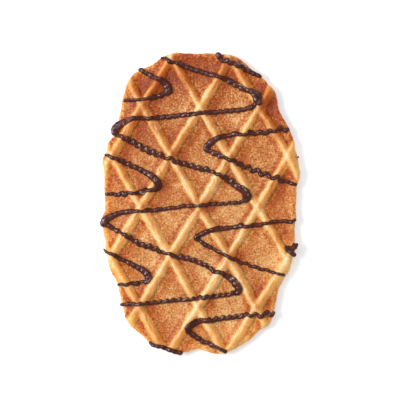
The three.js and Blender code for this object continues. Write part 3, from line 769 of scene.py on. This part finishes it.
def sway(route, seed):
    """The strand's own path and radius, and those of the base that fills under its crests."""
    steps, even, heading = along_route(route)
    x, y, width, swing, curl = even.T
    ahead_x, ahead_y = heading.T
    width = width + LINE_FULLER * (1 - smooth(*FULLER_SPAN, width))
    uneven = np.array([noise.noise(Vector((s / UNEVEN_OVER, seed, 0.5))) for s in steps])
    ribs = smooth(*RIBS_SPAN, width)
    pitch = SWING_PITCH * (1 - RIBS_TIGHTER * ribs) * (1 + UNEVEN_PITCH * uneven)
    phase = np.cumsum(2 * math.pi * LINE_STEP / pitch)
    out = (swing * (1 + UNEVEN_SWING * uneven) + RIBS_SWING * ribs) * np.cos(phase)
    back = CURL_BACK * curl * np.sin(phase) + SWING_LEAN * np.abs(swing) * np.cos(phase)
    over = 0.5 + 0.5 * np.cos(phase - LIFT_LATE)
    lift = LINE_CENTRE + SWING_LIFT * np.clip(np.abs(swing) / SWING_FULL, 0, 1) * over
    bead_pitch = BEAD_PITCH * (1 + UNEVEN_BEADS * uneven)
    beads = 1 + BEADS * np.cos(np.cumsum(2 * math.pi * LINE_STEP / bead_pitch))
    radius = (width - RIBS_THINNER * ribs) / 2 * (1 + UNEVEN_RADIUS * uneven) * beads
    tip = np.minimum(steps, steps[-1] - steps) / radius
    rounded = radius * np.sqrt(1 - (1 - np.clip(tip, TIP_LEAST, 1)) ** 2)
    strand = (x - back * ahead_x - out * ahead_y, y - back * ahead_y + out * ahead_x,
              lift, rounded)
    aside = -BASE_ASIDE * swing
    filled = BASE_LEAST + BASE_RADIUS * smooth(*BASE_SPAN, np.abs(swing))
    base = (x - aside * ahead_y, y + aside * ahead_x,
            np.full_like(x, LINE_CENTRE), np.minimum(rounded, filled))
    return strand, base


def fuse_strokes(strokes):
    """Pipes each stroke as a round strand, and fuses them all into one closed mesh."""
    curve = bpy.data.curves.new("strokes", "CURVE")
    curve.dimensions = "3D"
    curve.bevel_depth = 1
    curve.bevel_resolution = 3
    curve.use_fill_caps = True
    for x, y, lift, radius in strokes:
        spline = curve.splines.new("POLY")
        spline.points.add(len(x) - 1)
        spline.points.foreach_set("co", np.stack([x, y, lift, np.ones_like(x)], 1).ravel())
        spline.points.foreach_set("radius", radius)
    piped = bpy.data.objects.new("piped", curve)
    bpy.context.collection.objects.link(piped)
    fuse = piped.modifiers.new("fuse", "REMESH")
    fuse.mode = "VOXEL"
    fuse.voxel_size = LINE_VOXEL
    soften = piped.modifiers.new("soften", "SMOOTH")
    soften.iterations = LINE_SOFTEN
    bpy.context.view_layer.update()
    graph = bpy.context.evaluated_depsgraph_get()
    fused = bpy.data.meshes.new_from_object(piped.evaluated_get(graph))
    bpy.data.objects.remove(piped)
    bpy.data.curves.remove(curve)
    bm = bmesh.new()
    bm.from_mesh(fused)
    bpy.data.meshes.remove(fused)
    return bm


def lay_line(name, route, seed):
    """One line of chocolate, fused where it meets itself and settled on the waffle."""
    routes = [route]
    if name in BRANCHES:
        routes.append(BRANCHES[name])
    bm = fuse_strokes([stroke for part in routes for stroke in sway(part, seed)])
    x, y, high = coordinates(bm.verts)
    sagged = LINE_SAG_FROM + LINE_SAG * (high - LINE_SAG_FROM)
    high = np.maximum(np.where(high > LINE_SAG_FROM, sagged, high), LINE_FLAT)
    for vert, height in zip(bm.verts, resting_height(x, y) + high):
        vert.co.z = height
    return finish_mesh(bm, "chocolate_" + name)


# ---------------------------------------------------------------- finishes
# Sockets of a colour mix, which share their names with those of other kinds of mix.
MIX_A = 6
MIX_B = 7
MIX_RESULT = 2


def colour(hex_code):
    """An sRGB hex colour as the linear RGBA that the nodes take."""
    parts = [int(hex_code[k:k + 2], 16) / 255 for k in (1, 3, 5)]
    return [c / 12.92 if c <= 0.04045 else ((c + 0.055) / 1.055) ** 2.4 for c in parts] + [1]


def node(tree, kind, links=None, **settings):
    """Adds a node, with its settings, its input values and the links that feed it."""
    made = tree.nodes.new(kind)
    for key, value in settings.items():
        if key.startswith("in_"):
            made.inputs[key[3:].replace("_", " ")].default_value = value
        else:
            setattr(made, key, value)
    for key, source in (links or {}).items():
        tree.links.new(source, made.inputs[key])
    return made


def per_mm(size):
    """Texture scale, on Object coordinates in metres, for features of a size in millimetres."""
    return 1 / (size * MM)


def fill_ramp(ramp, stops):
    """Gives a colour ramp its stops, as (place, sRGB hex)."""
    elements = ramp.color_ramp.elements
    while len(elements) < len(stops):
        elements.new(0.5)
    for element, (at, hex_code) in zip(elements, stops):
        element.position = at
        element.color = colour(hex_code)


def new_material(name, **settings):
    """A material with one shader, whose own sockets take the settings."""
    material = bpy.data.materials.new(name)
    material.use_nodes = True
    tree = material.node_tree
    tree.nodes.clear()
    shader = node(tree, "ShaderNodeBsdfPrincipled", **settings)
    node(tree, "ShaderNodeOutputMaterial", {"Surface": shader.outputs["BSDF"]})
    return material, tree, shader


# The real crumb is finer than these grains, which are as coarse as they need to be to show.
# The mottling is broader and fainter, and the flecks are warm specks of browned butter.
CRUMB_SIZE = 0.55
CRUMB_SPAN = (0.25, 0.75)
CRUMB_CONTRAST = 0.26
CRUMB_RELIEF = 0.22
MOTTLE_SIZE = 1.7
MOTTLE_SPAN = (0.3, 0.7)
MOTTLE_CONTRAST = 0.05
FLECK_SIZE = 0.42
# From pale batter to dark brown crust, by how brown it is baked and how much shade is painted in.
BAKED_COLOURS = [
    (0.0, "#fdf1d6"), (0.15, "#fae2b6"), (0.3, "#edcb9a"), (0.42, "#dfaf78"),
    (0.55, "#cc8c51"), (0.68, "#b86c2e"), (0.82, "#a55416"), (1.0, "#8c3f06"),
]
FLECK_COLOURS = [(0.36, "#ffdb98"), (0.64, "#ffffff")]
# The warm tint is multiplied in at the feet and flanks of ridges as the orange of painted shade,
# and along the rim.
WARM_AND_SHADE_TINT = "#ffdaa4"


def baked_butter_batter():
    """Batter baked between iron plates: pale buttery ridges, and diamonds speckled brown."""
    material, tree, shader = new_material(
        "baked_butter_batter", in_Roughness=0.4, in_Specular_IOR_Level=0.35,
        in_Subsurface_Weight=0.15, in_Subsurface_Radius=(1.0, 0.4, 0.15),
        in_Subsurface_Scale=1.6 * MM)
    place = node(tree, "ShaderNodeTexCoord").outputs["Object"]
    # The brown and the warmth read here carry painted shade, and the crest's painted highlight.
    brown, speckled, warm = (
        node(tree, "ShaderNodeAttribute", attribute_name=name).outputs["Fac"] for name in PAINTED)
    crumb = node(tree, "ShaderNodeTexNoise", {"Vector": place}, in_Scale=per_mm(CRUMB_SIZE),
                 in_Detail=2.0)
    mottle = node(tree, "ShaderNodeTexNoise", {"Vector": place}, in_Scale=per_mm(MOTTLE_SIZE),
                  in_Detail=1.0)
    darker = node(tree, "ShaderNodeMapRange", {"Value": crumb.outputs["Fac"]}, clamp=False,
                  in_From_Min=CRUMB_SPAN[0], in_From_Max=CRUMB_SPAN[1],
                  in_To_Min=CRUMB_CONTRAST, in_To_Max=-CRUMB_CONTRAST)
    blotch = node(tree, "ShaderNodeMapRange", {"Value": mottle.outputs["Fac"]}, clamp=False,
                  in_From_Min=MOTTLE_SPAN[0], in_From_Max=MOTTLE_SPAN[1],
                  in_To_Min=MOTTLE_CONTRAST, in_To_Max=-MOTTLE_CONTRAST)
    both = node(tree, "ShaderNodeMath", {0: darker.outputs[0], 1: blotch.outputs[0]},
                operation="ADD")
    speck = node(tree, "ShaderNodeMath", {0: both.outputs[0], 1: speckled},
                 operation="MULTIPLY")
    browned_and_shaded = node(tree, "ShaderNodeMath", {0: brown, 1: speck.outputs[0]}, operation="ADD")
    ramp = node(tree, "ShaderNodeValToRGB", {0: browned_and_shaded.outputs[0]})
    fill_ramp(ramp, BAKED_COLOURS)
    fleck = node(tree, "ShaderNodeTexNoise", {"Vector": place}, in_Scale=per_mm(FLECK_SIZE),
                 in_Detail=1.0)
    tint = node(tree, "ShaderNodeValToRGB", {0: fleck.outputs["Fac"]})
    fill_ramp(tint, FLECK_COLOURS)
    flecked = node(tree, "ShaderNodeMix",
                   {MIX_A: ramp.outputs["Color"], MIX_B: tint.outputs["Color"]},
                   data_type="RGBA", blend_type="MULTIPLY", in_Factor=1.0)
    warmed_and_shaded = node(tree, "ShaderNodeMix", {"Factor": warm, MIX_A: flecked.outputs[MIX_RESULT]},
                  data_type="RGBA", blend_type="MULTIPLY")
    warmed_and_shaded.inputs[MIX_B].default_value = colour(WARM_AND_SHADE_TINT)
    tree.links.new(warmed_and_shaded.outputs[MIX_RESULT], shader.inputs["Base Color"])
    relief = node(tree, "ShaderNodeMath", {0: crumb.outputs["Fac"], 1: speckled},
                  operation="MULTIPLY")
    bump = node(tree, "ShaderNodeBump", {"Height": relief.outputs[0]}, in_Strength=0.7,
                in_Distance=CRUMB_RELIEF * MM)
    tree.links.new(bump.outputs[0], shader.inputs["Normal"])
    return material


# Faint clouds in the brown, and ripples left from the way that it ran.
CHOCOLATE_COLOURS = [(0.3, "#2f0b06"), (0.7, "#62291f")]
CLOUD_SIZE = 2.0
RIPPLE_SIZE = 0.9
RIPPLE_RELIEF = 0.15


def set_dark_chocolate():
    """Dark chocolate, melted and set: smooth and softly glossy, with a faint unevenness."""
    material, tree, shader = new_material("set_dark_chocolate", in_Roughness=0.24, in_IOR=1.5)
    place = node(tree, "ShaderNodeTexCoord").outputs["Object"]
    cloud = node(tree, "ShaderNodeTexNoise", {"Vector": place}, in_Scale=per_mm(CLOUD_SIZE),
                 in_Detail=2.0)
    ramp = node(tree, "ShaderNodeValToRGB", {0: cloud.outputs["Fac"]})
    fill_ramp(ramp, CHOCOLATE_COLOURS)
    tree.links.new(ramp.outputs["Color"], shader.inputs["Base Color"])
    ripple = node(tree, "ShaderNodeTexNoise", {"Vector": place}, in_Scale=per_mm(RIPPLE_SIZE),
                  in_Detail=1.0)
    bump = node(tree, "ShaderNodeBump", {"Height": ripple.outputs["Fac"]}, in_Strength=0.2,
                in_Distance=RIPPLE_RELIEF * MM)
    tree.links.new(bump.outputs[0], shader.inputs["Normal"])
    return material


# ---------------------------------------------------------------- camera, light, floor
# The view's width and its shift in +Y, in millimetres, and its long lens on a full sensor.
VIEW_FIELD = 128.0
VIEW_SHIFT = 1.12
LENS = 200.0
SENSOR = 36.0
# The lamps' bearings, their distances and sizes in metres, and their powers in watts.
WINDOW_FROM = (-0.98, 0.14, 1.12)
WINDOW_DISTANCE = 0.7
WINDOW_SIZE = 0.36
WINDOW_POWER = 3.75
PANEL_FROM = (-0.05, 0.4, 1)
PANEL_DISTANCE = 1.1
PANEL_SIZE = 0.6
PANEL_POWER = 2.2
SKY = 0.36
FLOOR_SIZE = 3.0
FLOOR_COLOUR = "#eef7ff"
FLOOR_GLOW = 0.34


def make_camera():
    """A camera that looks straight down on the waffle."""
    data = bpy.data.cameras.new("camera")
    data.lens = LENS
    data.sensor_width = SENSOR
    camera = bpy.data.objects.new("camera", data)
    bpy.context.collection.objects.link(camera)
    distance = VIEW_FIELD * MM * LENS / SENSOR
    camera.location = (0, VIEW_SHIFT * MM, TOTAL_HIGH * MM + distance)
    bpy.context.scene.camera = camera


def make_lamp(name, bearing, distance, size, power):
    """A round soft lamp that shines on the waffle from a bearing."""
    data = bpy.data.lights.new(name, "AREA")
    data.shape = "DISK"
    data.size = size
    data.energy = power
    lamp = bpy.data.objects.new(name, data)
    bpy.context.collection.objects.link(lamp)
    towards = Vector(bearing).normalized()
    lamp.location = towards * distance
    lamp.rotation_mode = "QUATERNION"
    lamp.rotation_quaternion = towards.to_track_quat("Z", "Y")


def make_light():
    """A soft window from the left, a wide panel overhead and a dim white room."""
    make_lamp("window", WINDOW_FROM, WINDOW_DISTANCE, WINDOW_SIZE, WINDOW_POWER)
    make_lamp("panel", PANEL_FROM, PANEL_DISTANCE, PANEL_SIZE, PANEL_POWER)
    world = bpy.data.worlds.new("studio")
    world.use_nodes = True
    room = world.node_tree.nodes["Background"]
    room.inputs["Color"].default_value = (1, 1, 1, 1)
    room.inputs["Strength"].default_value = SKY
    bpy.context.scene.world = world
    bpy.context.scene.view_settings.view_transform = "Standard"


def make_floor():
    """Cool white card that glows a little, as in a bright room, so its shadows stay pale."""
    bm = bmesh.new()
    bmesh.ops.create_grid(bm, x_segments=1, y_segments=1, size=FLOOR_SIZE / 2 / MM)
    floor = finish_mesh(bm, "floor")
    card = new_material("white_card", in_Base_Color=colour(FLOOR_COLOUR), in_Roughness=0.9,
                        in_Emission_Color=(1, 1, 1, 1), in_Emission_Strength=FLOOR_GLOW)[0]
    floor.data.materials.append(card)


# ---------------------------------------------------------------- all of it
def hand_in(piece, material, cad_node=None):
    """Gives a piece its finish, its body and slot, and the CAD node it stands for."""
    piece.data.materials.append(material)
    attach(piece, "root")
    if cad_node:
        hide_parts(cad_node)


make_camera()
make_light()
make_floor()
hand_in(bake_waffle(), baked_butter_batter(), "waffle")
chocolate = set_dark_chocolate()
for seed, (name, route) in enumerate(ROUTES.items()):
    line = lay_line(name, route, seed)
    hand_in(line, chocolate, None if name == "speck" else "drizzle_" + name)
